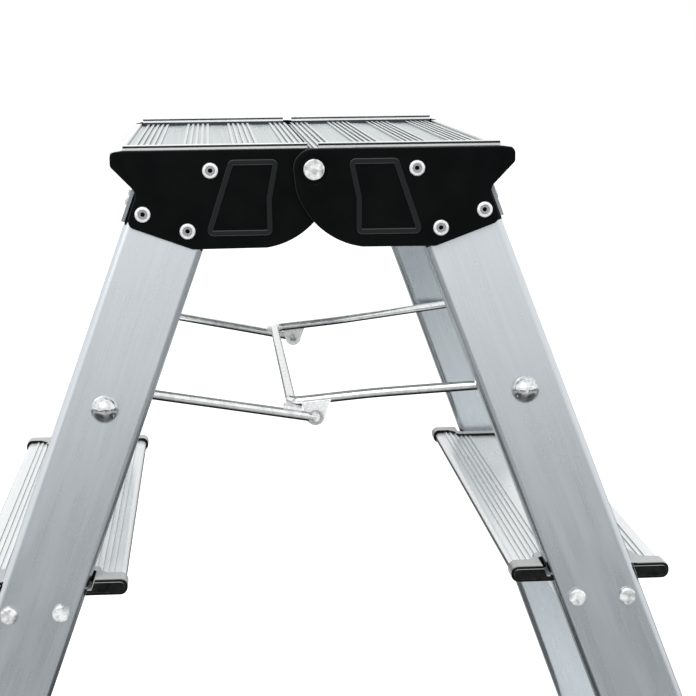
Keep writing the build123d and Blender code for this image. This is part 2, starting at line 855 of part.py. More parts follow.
def make_lugs():
    """Make the sheet lugs that carry the knee rivets, lapped against the bail's legs."""
    x, level = frame_point(*bail_pivot)
    along = Vector(x - bail_corner[0], level - bail_corner[1]).normalized()
    below = Vector(along.Y, -along.X)
    to_knee = Vector(knee[0] - bail_corner[0], knee[1] - bail_corner[1])
    top_middle = Vector(*bail_corner) + along * to_knee.dot(along) + below * lug_lap
    top_left = top_middle - along * lug_half_width
    top_right = top_middle + along * lug_shoulder
    with BuildPart() as lugs:
        for end in (-1, 1):
            with BuildSketch(side_plane(end * lug_outer_face)):
                Polygon(
                    (top_left.X, top_left.Y),
                    (top_right.X, top_right.Y),
                    (knee[0] + lug_radius, knee[1]),
                    (knee[0] - lug_radius, knee[1]),
                    align=None,
                )
                with Locations(knee):
                    Circle(lug_radius)
                    Circle(knee_radius, mode=Mode.SUBTRACT)
            extrude(amount=end * lug_thickness)
        add(make_bail(wire_radius + weld_gap), mode=Mode.SUBTRACT)
    return lugs.part


def make_stop_tabs():
    """Make the tabs at the bail's corners that come to rest on the rods, grooved for the bail's wire."""
    along = Vector(knee[0] - rod_crank[0], 0, knee[1] - rod_crank[1]).normalized()
    above = Vector(-along.Z, 0, along.X)
    reach = (bail_corner[0] - knee[0]) / along.X
    rod_axis = Vector(knee[0], 0, hinge_height + knee[1]) + along * reach
    seat = rod_axis + above * (wire_radius + weld_gap)
    width = tab_outer_face - tab_inner_face
    with BuildPart() as tabs:
        for end in (-1, 1):
            middle = seat + Vector(0, end * (tab_inner_face + tab_outer_face) / 2, 0)
            with BuildSketch(Plane(origin=middle, x_dir=along, z_dir=above)):
                Rectangle(tab_length, width)
            extrude(amount=tab_thickness)
        add(make_bail(wire_radius + weld_gap), mode=Mode.SUBTRACT)
    return tabs.part


# The two frames: the left frame is the right one after half a turn
for side, turn, pivot in (("right", 0, bail_pivot), ("left", 180, rod_pivot)):
    end_names = {-1: "near", 1: "far"} if turn == 0 else {-1: "far", 1: "near"}
    for end, end_name in end_names.items():
        kind = "outer" if end < 0 else "inner"
        save(make_stile(end, pivot).rotate(Axis.Z, turn), f"{side}_stile_{end_name}")
        save(make_side_plate(end, kind).rotate(Axis.Z, turn), f"{side}_side_plate_{end_name}")
        save(make_trim(end).rotate(Axis.Z, turn), f"{side}_platform_trim_{end_name}")
        save(make_foot(end).rotate(Axis.Z, turn), f"{side}_foot_{end_name}")
        for tread_name, top in tread_heights.items():
            save(make_tread_cap(top, end).rotate(Axis.Z, turn), f"{side}_{tread_name}_tread_cap_{end_name}")
    for tread_name, top in tread_heights.items():
        save(make_tread(top).rotate(Axis.Z, turn), f"{side}_{tread_name}_tread")
    skirt_places = [skirt_rivet_plane(end) for end in end_names]
    foot_places = [foot_rivet_plane(end) for end in end_names]
    save(make_deck().rotate(Axis.Z, turn), f"{side}_platform")
    save(make_plate_rivets().rotate(Axis.Z, turn), f"{side}_plate_rivets")
    skirt_rivets = make_rivet_pair(skirt_places, skin_thickness + stile_wall)
    foot_rivets = make_rivet_pair(foot_places, foot_wall + stile_wall)
    save(skirt_rivets.rotate(Axis.Z, turn), f"{side}_skirt_rivets")
    save(foot_rivets.rotate(Axis.Z, turn), f"{side}_foot_rivets")
    save(make_tread_screws().rotate(Axis.Z, turn), f"{side}_tread_screws")

# Hinge
for end, end_name in ((-1, "near"), (1, "far")):
    save(make_hinge_pin(end), f"hinge_pin_{end_name}")
save(make_hinge_washers(), "hinge_washers")

# Spreader
bail_x, bail_level = frame_point(*bail_pivot)
rod_x, rod_level = frame_point(*rod_pivot)
save(make_bail(wire_radius), "spreader_bail")
save(make_lugs(), "bail_lugs")
save(make_stop_tabs(), "bail_stop_tabs")
save(make_knee_heads(), "bail_knee_heads")
save(make_dome_caps(bail_x, bail_level, bail_pivot[1], (-1, 1)), "bail_dome_caps")
for end, end_name in ((-1, "near"), (1, "far")):
    save(make_rod(end), f"spreader_rod_{end_name}")
    save(make_knee_rivet(end), f"rod_knee_rivet_{end_name}")
    save(make_dome_caps(-rod_x, rod_level, rod_pivot[1], (end,)), f"rod_dome_cap_{end_name}")
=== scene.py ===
"""Looks of a double-sided folding step ladder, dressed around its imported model.

The ladder is brushed and extruded aluminium with black moulded side plates and tread caps, set
blind rivets, and a zinc plated wire spreader. It stands in a plain pale studio.
"""

import logging
import math
from dataclasses import dataclass, field
from enum import Enum

import bmesh
import bpy
from mathutils import Matrix, Vector


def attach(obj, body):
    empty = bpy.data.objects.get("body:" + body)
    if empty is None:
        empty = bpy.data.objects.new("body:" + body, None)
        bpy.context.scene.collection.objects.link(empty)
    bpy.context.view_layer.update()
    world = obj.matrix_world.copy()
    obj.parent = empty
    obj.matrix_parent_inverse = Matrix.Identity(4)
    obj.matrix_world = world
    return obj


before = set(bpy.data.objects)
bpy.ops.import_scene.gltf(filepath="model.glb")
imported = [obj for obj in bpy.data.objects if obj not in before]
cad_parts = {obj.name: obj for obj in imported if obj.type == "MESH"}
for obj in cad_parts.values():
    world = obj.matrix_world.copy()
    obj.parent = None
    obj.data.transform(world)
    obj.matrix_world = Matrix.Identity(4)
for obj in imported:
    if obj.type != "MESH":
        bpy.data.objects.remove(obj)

Span = tuple[float, float]
Axis = tuple[float, float, float]

LOG = logging.getLogger("step_ladder")
MM = 0.001

# Lean of the two frames and sideways splay of their stiles
LEAN = math.radians(20.2)
SPLAY = math.radians(6.1)

ACROSS: Axis = (1, 0, 0)
ENDWAYS: Axis = (0, 1, 0)
UP: Axis = (0, 0, 1)
DOWN: Axis = (0, 0, -1)

# Axes of a piece that lies along the treads, the third of them along its length
ALONG_TREADS = Matrix(((0, 0, 1), (1, 0, 0), (0, 1, 0))).transposed()

# Shares of a normal along an axis that leave no face out
EVERY_FACE: Span = (-1.0, 0.0)

# Nearly all values of a noise pattern lie in this span
NOISE_SPAN: Span = (0.3, 0.7)

# Numbers of a Mix node's sockets for its share and its two colours, and for their mix
MIX_SHARE, MIX_UNDER, MIX_OVER = 0, 6, 7
MIX_RESULT = 2


class Option(Enum):
    """A choice whose name is also a word in the names of nodes."""

    @property
    def word(self) -> str:
        """The choice's word in node names."""
        return self.name.lower()


class Side(Option):
    """The two frames of the ladder, with the sign of X that each one leans to."""

    LEFT = -1
    RIGHT = 1

    @property
    def body(self) -> str:
        """Name of the frame's body."""
        return f"{self.word}_frame"


class End(Option):
    """The two ends of the treads, with the sign of Y that each one faces."""

    NEAR = -1
    FAR = 1


class Step(Option):
    """The two treads of a frame, with the height of their tops in millimetres."""

    UPPER = 500.0
    LOWER = 250.0


def linear(code: str) -> tuple[float, float, float, float]:
    """Turn an sRGB hex colour into linear red, green, blue and alpha.

    Args:
        code: Colour such as "#C8CCD0".

    Returns:
        The four linear values, with alpha 1.
    """
    values = [int(code[start : start + 2], 16) / 255 for start in (1, 3, 5)]
    red, green, blue = (
        v / 12.92 if v <= 0.04045 else ((v + 0.055) / 1.055) ** 2.4 for v in values
    )
    return red, green, blue, 1.0


def add_node(
    tree: bpy.types.NodeTree, kind: str, sockets: dict | None = None, **settings
) -> bpy.types.Node:
    """Add a node, set it up and link it.

    Args:
        tree: Node tree that gets the node.
        kind: Type name of the node.
        sockets: Values or source sockets for its inputs, by name or index.
        settings: Properties of the node.

    Returns:
        The new node.
    """
    node = tree.nodes.new(kind)
    for name, value in settings.items():
        setattr(node, name, value)
    for name, value in (sockets or {}).items():
        if isinstance(value, bpy.types.NodeSocket):
            tree.links.new(value, node.inputs[name])
        else:
            node.inputs[name].default_value = value
    return node


def new_material(name: str) -> tuple[bpy.types.Material, bpy.types.NodeTree, bpy.types.Node]:
    """Start a material with a single Principled shader.

    Args:
        name: Name of the material.

    Returns:
        The material, its node tree and the shader.
    """
    material = bpy.data.materials.new(name)
    material.use_nodes = True
    tree = material.node_tree
    return material, tree, tree.nodes["Principled BSDF"]


def set_sockets(shader: bpy.types.Node, values: dict) -> None:
    """Set plain values on a shader's own sockets.

    Args:
        shader: The shader node.
        values: Value of each socket by its name.
    """
    for name, value in values.items():
        shader.inputs[name].default_value = value


def dress(material: bpy.types.Material, *nodes: str) -> None:
    """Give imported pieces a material.

    Args:
        material: The material.
        nodes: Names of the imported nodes.
    """
    for node in nodes:
        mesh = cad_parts[node].data
        mesh.materials.clear()
        mesh.materials.append(material)


def finish_mesh(shape: bmesh.types.BMesh, name: str) -> bpy.types.Object:
    """Turn a finished shape into an object in the scene.

    Args:
        shape: The shape, which is freed.
        name: Name of the object.

    Returns:
        The object.
    """
    bmesh.ops.recalc_face_normals(shape, faces=shape.faces)
    mesh = bpy.data.meshes.new(name)
    shape.to_mesh(mesh)
    shape.free()
    piece = bpy.data.objects.new(name, mesh)
    bpy.context.scene.collection.objects.link(piece)
    return piece


def facing(
    tree: bpy.types.NodeTree, axis: Axis, span: Span, both: bool
) -> bpy.types.NodeSocket:
    """Add a mask for surfaces by the way they face.

    Args:
        tree: Node tree of the material.
        axis: Direction in the object's own axes.
        span: Shares of the normal along the direction where the mask is 0 and where it is 1.
        both: Whether faces that look the other way count too.

    Returns:
        The socket with the mask.
    """
    place = add_node(tree, "ShaderNodeTexCoord")
    along = add_node(
        tree,
        "ShaderNodeVectorMath",
        {0: place.outputs["Normal"], 1: axis},
        operation="DOT_PRODUCT",
    )
    share = along.outputs["Value"]
    if both:
        share = add_node(tree, "ShaderNodeMath", {0: share}, operation="ABSOLUTE").outputs["Value"]
    start, full = span
    mask = add_node(
        tree, "ShaderNodeMapRange", {"Value": share, "From Min": start, "From Max": full}
    )
    return mask.outputs["Result"]


@dataclass(frozen=True)
class Tone:
    """Another tone on a part of a piece."""

    colour: str

    def lay(
        self,
        tree: bpy.types.NodeTree,
        mask: bpy.types.NodeSocket,
        plain: bpy.types.NodeSocket,
    ) -> bpy.types.NodeSocket:
        """Mix the tone into a colour.

        Args:
            tree: Node tree of the material.
            mask: Socket with the share of the tone.
            plain: Socket with the colour under it.

        Returns:
            The socket with the mixed colour.
        """
        sockets = {MIX_SHARE: mask, MIX_UNDER: plain, MIX_OVER: linear(self.colour)}
        mixed = add_node(tree, "ShaderNodeMix", sockets, data_type="RGBA")
        return mixed.outputs[MIX_RESULT]


@dataclass(frozen=True)
class Worn(Tone):
    """A tone on the faces that look along an axis, which paints light or shade: highlights on
    edges and tops, shade on undersides.
    """

    axis: Axis
    span: Span
    both: bool = False

    def add(
        self, tree: bpy.types.NodeTree, plain: bpy.types.NodeSocket
    ) -> bpy.types.NodeSocket:
        """Lay the tone over a colour and return the socket with both."""
        return self.lay(tree, facing(tree, self.axis, self.span, self.both), plain)


@dataclass(frozen=True)
class Band(Tone):
    """A tone between set distances in millimetres, up from the floor or out from the middle.

    With a span it only lies on faces that look along an axis by that much.
    """

    axis: str
    levels: tuple[Span, ...]
    span: Span = EVERY_FACE
    face: Axis = ACROSS

    def add(
        self, tree: bpy.types.NodeTree, plain: bpy.types.NodeSocket
    ) -> bpy.types.NodeSocket:
        """Lay the tone over a colour and return the socket with both."""
        place = add_node(tree, "ShaderNodeTexCoord")
        split = add_node(tree, "ShaderNodeSeparateXYZ", {"Vector": place.outputs["Object"]})
        reach = add_node(
            tree, "ShaderNodeMath", {0: split.outputs[self.axis]}, operation="ABSOLUTE"
        )
        turned = facing(tree, self.face, self.span, True)
        for low, high in self.levels:
            middle, half = (low + high) / 2 * MM, (high - low) / 2 * MM
            inside = add_node(
                tree,
                "ShaderNodeMath",
                {0: reach.outputs["Value"], 1: middle, 2: half},
                operation="COMPARE",
            )
            mask = add_node(
                tree,
                "ShaderNodeMath",
                {0: inside.outputs["Value"], 1: turned},
                operation="MULTIPLY",
            )
            plain = self.lay(tree, mask.outputs["Value"], plain)
        return plain


@dataclass(frozen=True)
class Streaks:
    """A pattern of streaks, by its cell across, through and along the piece in millimetres."""

    across: float
    through: float
    along: float
    detail: float = 2.0

    def add(self, tree: bpy.types.NodeTree, turn: Matrix) -> bpy.types.NodeSocket:
        """Add the pattern to a material.

        Args:
            tree: Node tree of the material.
            turn: Axes of the piece, as columns.

        Returns:
            The socket with the pattern's values.
        """
        place = add_node(tree, "ShaderNodeTexCoord")
        cell = (self.across * MM, self.through * MM, self.along * MM)
        turned = add_node(
            tree,
            "ShaderNodeMapping",
            {"Vector": place.outputs["Object"], "Rotation": turn.to_euler(), "Scale": cell},
            vector_type="TEXTURE",
        )
        noise = add_node(
            tree,
            "ShaderNodeTexNoise",
            {"Vector": turned.outputs["Vector"], "Scale": 1.0, "Detail": self.detail},
        )
        return noise.outputs["Fac"]


@dataclass(frozen=True)
class Specks:
    """A pattern that is alike in all directions, by its cell in millimetres."""

    cell: float
    detail: float

    def add(self, tree: bpy.types.NodeTree) -> bpy.types.NodeSocket:
        """Add the pattern to a material and return the socket with its values."""
        place = add_node(tree, "ShaderNodeTexCoord")
        scale = 1 / (self.cell * MM)
        noise = add_node(
            tree,
            "ShaderNodeTexNoise",
            {"Vector": place.outputs["Object"], "Scale": scale, "Detail": self.detail},
        )
        return noise.outputs["Fac"]


@dataclass(frozen=True, kw_only=True)
class Finish:
    """What every finish has: two tones, a span of roughness and a fine relief."""

    name: str
    dark: str
    light: str
    roughness: Span
    bump: float
    tone_span: Span = NOISE_SPAN
    bump_mm: float = 0.2

    def cover(
        self,
        tree: bpy.types.NodeTree,
        hue: bpy.types.NodeSocket,
        wear: bpy.types.NodeSocket,
        height: bpy.types.NodeSocket,
        tones: tuple[Worn | Band, ...],
    ) -> None:
        """Join the finish's patterns to its shader.

        Args:
            tree: Node tree of the material.
            hue: Pattern that runs from the dark tone to the light one.
            wear: Pattern that runs through the roughness.
            height: Pattern of the relief.
            tones: Other tones in parts of the piece.
        """
        colour = add_node(tree, "ShaderNodeValToRGB", {"Fac": hue})
        dark, light = colour.color_ramp.elements
        dark.position, light.position = self.tone_span
        dark.color, light.color = linear(self.dark), linear(self.light)
        base = colour.outputs["Color"]
        for tone in tones:
            base = tone.add(tree, base)
        low, high = NOISE_SPAN
        smooth, rough = self.roughness
        gloss = add_node(
            tree,
            "ShaderNodeMapRange",
            {
                "Value": wear,
                "From Min": low,
                "From Max": high,
                "To Min": smooth,
                "To Max": rough,
            },
        )
        relief = add_node(
            tree,
            "ShaderNodeBump",
            {"Height": height, "Strength": self.bump, "Distance": self.bump_mm * MM},
        )
        shader = tree.nodes["Principled BSDF"]
        tree.links.new(base, shader.inputs["Base Color"])
        tree.links.new(gloss.outputs["Result"], shader.inputs["Roughness"])
        tree.links.new(relief.outputs["Normal"], shader.inputs["Normal"])


@dataclass(frozen=True, kw_only=True)
class DrawnAluminium(Finish):
    """Mill finish aluminium, extruded and brushed along its length.

    The eye sees soft streaks along the piece, a broad dull sheen and a few paler clouds. The real
    brush lines are about 0.1 mm wide, too fine to show, so they are drawn coarser here.
    """

    lines: Streaks
    clouds: Streaks
    line_share: float = 0.45
    metallic: float = 1.0

    def build(self, turn: Matrix, *tones: Band) -> bpy.types.Material:
        """Make the material.

        Args:
            turn: Axes of the piece, as columns, the third along its length.
            tones: Other tones in parts of the piece.

        Returns:
            The material.
        """
        material, tree, shader = new_material(self.name)
        set_sockets(shader, {"Metallic": self.metallic})
        lines = self.lines.add(tree, turn)
        clouds = self.clouds.add(tree, turn)
        mixed = add_node(
            tree,
            "ShaderNodeMix",
            {"Factor": self.line_share, "A": clouds, "B": lines},
            data_type="FLOAT",
        )
        self.cover(tree, mixed.outputs["Result"], clouds, lines, tones)
        return material


@dataclass(frozen=True, kw_only=True)
class MouldedPolymer(Finish):
    """A moulded polymer, black in the mass.

    The eye sees the grain of its mould and faint clouds from handling. The real grain is about
    0.1 mm, too fine to show, so it is drawn coarser here.
    """

    grain: Specks
    clouds: Specks
    specular: float
    ior: float = 1.5
    sheen: float = 0.0
    sheen_roughness: float = 0.5
    tones: tuple[Worn | Band, ...] = ()
    tone_span: Span = (0.35, 0.75)
    bump_mm: float = 0.1

    def build(self) -> bpy.types.Material:
        """Make the material and return it."""
        material, tree, shader = new_material(self.name)
        set_sockets(
            shader,
            {
                "IOR": self.ior,
                "Specular IOR Level": self.specular,
                "Sheen Weight": self.sheen,
                "Sheen Roughness": self.sheen_roughness,
            },
        )
        grain = self.grain.add(tree)
        clouds = self.clouds.add(tree)
        self.cover(tree, clouds, clouds, grain, self.tones)
        return material


@dataclass(frozen=True, kw_only=True)
class BrightMetal(Finish):
    """A small bright metal part, pressed, headed or plated.

    The eye sees a bright metal that the soft dents of its tools break up.
    """

    dents: Specks
    metallic: float = 1.0
    tone_span: Span = (0.3, 0.6)

    def build(self, *tones: Worn | Band) -> bpy.types.Material:
        """Make the material.

        Args:
            tones: Other tones in parts of the piece.

        Returns:
            The material.
        """
        material, tree, shader = new_material(self.name)
        set_sockets(shader, {"Metallic": self.metallic})
        dents = self.dents.add(tree)
        self.cover(tree, dents, dents, dents, tones)
        return material


# Distances in millimetres from the middle of the ladder to the ridges of the side plates
RIDGES: tuple[Span, ...] = ((185.95, 187.0), (190.25, 191.3))

# Tube brushed along its length: fine streaks under a soft, broad sheen
BRUSHED_STILE = DrawnAluminium(
    name="brushed_aluminium_stile",
    dark="#D3D9DE",
    light="#DDE3E7",
    lines=Streaks(across=0.9, through=0.9, along=70.0, detail=3.0),
    clouds=Streaks(across=7.0, through=7.0, along=60.0),
    roughness=(0.26, 0.3),
    bump=0.08,
)
# Extrusion as it left the press: greyer than the brushed tubes, cloudy along its ribs
EXTRUDED_DECK = DrawnAluminium(
    name="extruded_aluminium_deck",
    dark="#A4AFB0",
    light="#D2DBDC",
    lines=Streaks(across=1.1, through=1.1, along=160.0),
    clouds=Streaks(across=18.0, through=18.0, along=90.0),
    roughness=(0.22, 0.34),
    bump=0.06,
)
# The treads are trodden dull, so part of their sheen is scattered light; their tone is painted
# paler than the deck's to offset the shade under the platform
EXTRUDED_TREAD = DrawnAluminium(
    name="extruded_aluminium_tread",
    dark="#EEF3F4",
    light="#FAFDFD",
    lines=Streaks(across=1.1, through=1.1, along=160.0),
    clouds=Streaks(across=18.0, through=18.0, along=90.0),
    roughness=(0.22, 0.34),
    bump=0.06,
    metallic=0.35,
)
# Etched strip: pale and nearly matt, with little mirror left in it
TRIM_STRIP = DrawnAluminium(
    name="extruded_aluminium_trim",
    dark="#E6E8E9",
    light="#F6F7F8",
    lines=Streaks(across=120.0, through=0.8, along=0.8),
    clouds=Streaks(across=60.0, through=6.0, along=6.0),
    roughness=(0.2, 0.3),
    bump=0.05,
    metallic=0.15,
)
# Injection moulded: deep black, nearly without gloss, with painted highlights on edges and ridges
SIDE_PLATE = MouldedPolymer(
    name="moulded_black_nylon",
    dark="#060909",
    light="#0A0D0D",
    grain=Specks(0.5, 2.0),
    clouds=Specks(14.0, 4.0),
    roughness=(0.38, 0.5),
    specular=0.05,
    bump=0.08,
    tones=(
        # Painted highlight on the edges, where the faces turn away from the plate's wide sides
        Worn("#343838", ENDWAYS, (0.97, 0.3), both=True),
        # Painted highlight along the ridges
        Band("#1E2222", "Y", RIDGES),
        # A paler painted highlight on the ridges' upward faces
        Band("#464B4B", "Y", RIDGES, (0.1, 0.6), UP),
    ),
)
# Injection moulded: black ends, tops painted pale as a painted reflection, a sheen in grazing
# light
TREAD_CAP = MouldedPolymer(
    name="moulded_black_polypropylene",
    dark="#060707",
    light="#1C1E1E",
    grain=Specks(0.6, 2.0),
    clouds=Specks(4.0, 4.0),
    roughness=(0.25, 0.36),
    specular=0.12,
    bump=0.06,
    sheen=1.0,
    sheen_roughness=0.3,
    # Painted reflection: the upward faces are painted pale
    tones=(Worn("#B2B4B4", UP, (0.5, 0.9)),),
)
# Pressed rubber: dull black, faintly pitted
FOOT_RUBBER = MouldedPolymer(
    name="moulded_black_rubber",
    dark="#0F0F10",
    light="#1B1B1C",
    grain=Specks(0.8, 2.0),
    clouds=Specks(12.0, 4.0),
    roughness=(0.62, 0.78),
    specular=0.3,
    bump=0.2,
)
# Headed aluminium, half dulled: pale rings with soft dents
RIVET = BrightMetal(
    name="headed_aluminium_rivet",
    dark="#E2E5E6",
    light="#FAFBFB",
    dents=Specks(1.6, 3.0),
    roughness=(0.18, 0.3),
    bump=0.1,
    metallic=0.4,
)
# Headed steel under zinc: nearly white, with greyer patches where the punch struck it
PLATED_STEEL = BrightMetal(
    name="zinc_plated_steel",
    dark="#969B9D",
    light="#FDFEFE",
    dents=Specks(3.6, 3.0),
    roughness=(0.16, 0.3),
    bump=0.25,
    metallic=0.4,
)
# Pressed and nickel plated: a mirror with slight waves
DOME_STEEL = BrightMetal(
    name="pressed_nickel_dome",
    dark="#CED1D2",
    light="#F3F4F4",
    dents=Specks(2.4, 3.0),
    roughness=(0.1, 0.16),
    bump=0.6,
)
# Punched sheet under dull zinc: pale, with little mirror left in it
ZINC_SHEET = BrightMetal(
    name="zinc_plated_sheet",
    dark="#E9ECEC",
    light="#FCFDFD",
    dents=Specks(1.8, 3.0),
    roughness=(0.2, 0.3),
    bump=0.2,
    metallic=0.25,
)
# Drawn wire under bright zinc: sharp pale and dark lines along it
ZINC_WIRE = BrightMetal(
    name="drawn_zinc_wire",
    dark="#DFE2E3",
    light="#FAFBFB",
    dents=Specks(4.0, 3.0),
    roughness=(0.1, 0.18),
    bump=0.12,
    metallic=0.8,
)
# Snapped steel, rough, and near black as painted shade in the hollow of the rivet head
BROKEN_MANDREL = BrightMetal(
    name="broken_steel_mandrel",
    dark="#08090A",
    light="#15171A",
    dents=Specks(0.6, 3.0),
    roughness=(0.45, 0.65),
    bump=0.3,
)


@dataclass
class Stiles:
    """The four leaning tubes."""

    lean: float = LEAN
    splay: float = SPLAY

    def axes(self, side: Side, end: End) -> Matrix:
        """Give the axes of a stile: out of its narrow side, out of its wide side, and down it.

        Args:
            side: Frame that the stile belongs to.
            end: End of the ladder that it stands at.

        Returns:
            A turn whose columns are the three axes.
        """
        narrow = Vector((side.value * math.cos(self.lean), 0, math.sin(self.lean)))
        along = Vector(
            (
                side.value * math.sin(self.lean) * math.cos(self.splay),
                end.value * math.sin(self.splay),
                -math.cos(self.lean) * math.cos(self.splay),
            )
        )
        wide = along.cross(narrow)
        return Matrix((narrow, wide, along)).transposed()

    def dress(self) -> None:
        """Brush each tube along its own length."""
        for side in Side:
            for end in End:
                material = BRUSHED_STILE.build(self.axes(side, end))
                dress(material, f"{side.word}_stile_{end.word}")


@dataclass
class Planks:
    """The platform halves with their trim strips, and the treads, with heights in millimetres.

    Heights on a platform are above the floor, and heights on a tread are from its top.
    """

    steep: Span = (0.2, 0.6)
    level: Span = (0.5, 0.8)
    # Painted shade in the grooves between the ribs
    groove_tone: str = "#9CA2A3"
    deck_grooves: Span = (746.9, 748.4)
    # Painted highlight on the upward faces of the deck's rib tops
    rib_tone: str = "#DEE4E4"
    rib_tops: Span = (748.1, 748.3)
    # Painted highlight on the upward faces of the beads
    bead_tone: str = "#FAFCFC"
    bead_tops: Span = (748.4, 748.6)
    # Painted shade in the necks of the trim strips and under their foot
    trim_tone: str = "#2E3233"
    trim_necks: tuple[Span, ...] = ((747.0, 749.3), (750.7, 751.85))
    tread_grooves: Span = (-0.8, 0.0)
    # Painted shade on the steep faces under the lips of the treads
    lip_tone: str = "#101213"
    tread_lips: Span = (-8.2, -2.9)

    def dress(self) -> None:
        """Give every extrusion streaks along its own length, painted shade in its hollows and
        painted highlights on its tops.
        """
        deck = EXTRUDED_DECK.build(
            ALONG_TREADS,
            Band(self.groove_tone, "Z", (self.deck_grooves,), self.steep),
            Band(self.rib_tone, "Z", (self.rib_tops,), self.level, UP),
            Band(self.bead_tone, "Z", (self.bead_tops,), self.level, UP),
        )
        trim = TRIM_STRIP.build(Matrix.Identity(3), Band(self.trim_tone, "Z", self.trim_necks))
        for side in Side:
            dress(deck, f"{side.word}_platform")
            dress(trim, *[f"{side.word}_platform_trim_{end.word}" for end in End])
        # Painted shade in the treads' grooves and under their lips
        tread_shades = {self.groove_tone: self.tread_grooves, self.lip_tone: self.tread_lips}
        for step in Step:
            bands = [
                Band(tone, "Z", ((step.value + low, step.value + high),), self.steep)
                for tone, (low, high) in tread_shades.items()
            ]
            tread = EXTRUDED_TREAD.build(ALONG_TREADS, *bands)
            dress(tread, *[f"{side.word}_{step.word}_tread" for side in Side])


@dataclass
class Mouldings:
    """Side plates, tread caps and feet."""

    def dress(self) -> None:
        """Give each moulding its own polymer."""
        plate = SIDE_PLATE.build()
        cap = TREAD_CAP.build()
        foot = FOOT_RUBBER.build()
        for side in Side:
            for end in End:
                dress(plate, f"{side.word}_side_plate_{end.word}")
                dress(foot, f"{side.word}_foot_{end.word}")
                dress(cap, *[f"{side.word}_{step.word}_tread_cap_{end.word}" for step in Step])


@dataclass
class Fittings:
    """Hinge pins, washers, screws and the wire spreader."""

    # Painted shade on the wire's downward faces
    underside: Worn = Worn("#0A0C0C", DOWN, (0.3, 0.6))

    def dress(self) -> None:
        """Give each fitting its metal."""
        steel = PLATED_STEEL.build()
        wire = ZINC_WIRE.build(self.underside)
        dome = DOME_STEEL.build()
        dress(steel, "hinge_pin_near", "hinge_pin_far", "hinge_washers")
        dress(steel, "left_tread_screws", "right_tread_screws")
        dress(steel, "bail_knee_heads", "rod_knee_rivet_near", "rod_knee_rivet_far")
        dress(wire, "spreader_bail", "spreader_rod_near", "spreader_rod_far")
        dress(ZINC_SHEET.build(), "bail_lugs", "bail_stop_tabs")
        dress(dome, "bail_dome_caps", "rod_dome_cap_near", "rod_dome_cap_far")


@dataclass
class Rivets:
    """The set blind rivets, each with the stub of its mandrel broken off in the head."""

    lean: float = LEAN
    stub_radius: float = 1.4 * MM
    stub_taper: float = 0.8
    stub_depth: float = 1.45 * MM
    stub_height: float = 0.5 * MM
    stub_sides: int = 20
    edge_share: float = 0.1
    edge_steps: int = 2
    crown_band: float = 0.02 * MM
    merge: float = 0.001 * MM
    # Painted shade in the dished middles of the plate rivets' heads
    dishes: tuple[Span, ...] = ((186.7, 186.9), (191.0, 191.2))
    dish_tone: str = "#A3A8AA"

    def heads(self, node: str, axis: Vector) -> list[tuple[Vector, Vector]]:
        """Find the middle of the crown of every rivet in a packed group.

        Args:
            node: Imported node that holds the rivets.
            axis: Direction out of the heads.

        Returns:
            For each rivet a point level with the top of its head, and the way that the head faces.
        """
        cloud = bmesh.new()
        cloud.from_mesh(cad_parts[node].data)
        bmesh.ops.remove_doubles(cloud, verts=cloud.verts, dist=self.merge)
        left = dict.fromkeys(cloud.verts)
        found = []
        while left:
            island = [left.popitem()[0]]
            for vert in island:
                for other in [edge.other_vert(vert) for edge in vert.link_edges]:
                    if other in left:
                        del left[other]
                        island.append(other)
            heading = axis if axis.dot(island[0].co) > 0 or axis.y == 0 else -axis
            top = max(vert.co.dot(heading) for vert in island)
            crown = [v.co for v in island if v.co.dot(heading) > top - self.crown_band]
            found.append((sum(crown, Vector()) / len(crown), heading))
        cloud.free()
        return found

    def stubs(self, name: str, places: list[tuple[Vector, Vector]]) -> bpy.types.Object:
        """Make the broken mandrels of a frame's rivets.

        Args:
            name: Name of the piece.
            places: Crown and direction of each rivet.

        Returns:
            The piece.
        """
        shape = bmesh.new()
        for crown, heading in places:
            turn = heading.to_track_quat("Z", "Y").to_matrix().to_4x4()
            middle = crown - heading * (self.stub_depth - self.stub_height / 2)
            made = bmesh.ops.create_cone(
                shape,
                cap_ends=True,
                segments=self.stub_sides,
                radius1=self.stub_radius,
                radius2=self.stub_taper * self.stub_radius,
                depth=self.stub_height,
                matrix=Matrix.Translation(middle) @ turn,
            )
            ring = dict.fromkeys(edge for vert in made["verts"] for edge in vert.link_edges)
            bmesh.ops.bevel(
                shape,
                geom=list(ring),
                offset=self.edge_share * self.stub_radius,
                affect="EDGES",
                segments=self.edge_steps,
                profile=0.5,
                material=-1,
            )
        return finish_mesh(shape, name)

    def build(self) -> None:
        """Dress the rivets and set a stub in each head."""
        plain = RIVET.build()
        dish_shaded = RIVET.build(Band(self.dish_tone, "Y", self.dishes))
        broken = BROKEN_MANDREL.build()
        for side in Side:
            out = Vector((side.value * math.cos(self.lean), 0, math.sin(self.lean)))
            groups = {"plate_rivets": Vector(ENDWAYS), "skirt_rivets": out, "foot_rivets": out}
            places = []
            for group, axis in groups.items():
                node = f"{side.word}_{group}"
                dress(dish_shaded if group == "plate_rivets" else plain, node)
                places += self.heads(node, axis)
            piece = self.stubs(f"{side.word}_rivet_mandrels", places)
            piece.data.materials.append(broken)
            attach(piece, side.body)
            LOG.info("%s: %d stubs", piece.name, len(places))


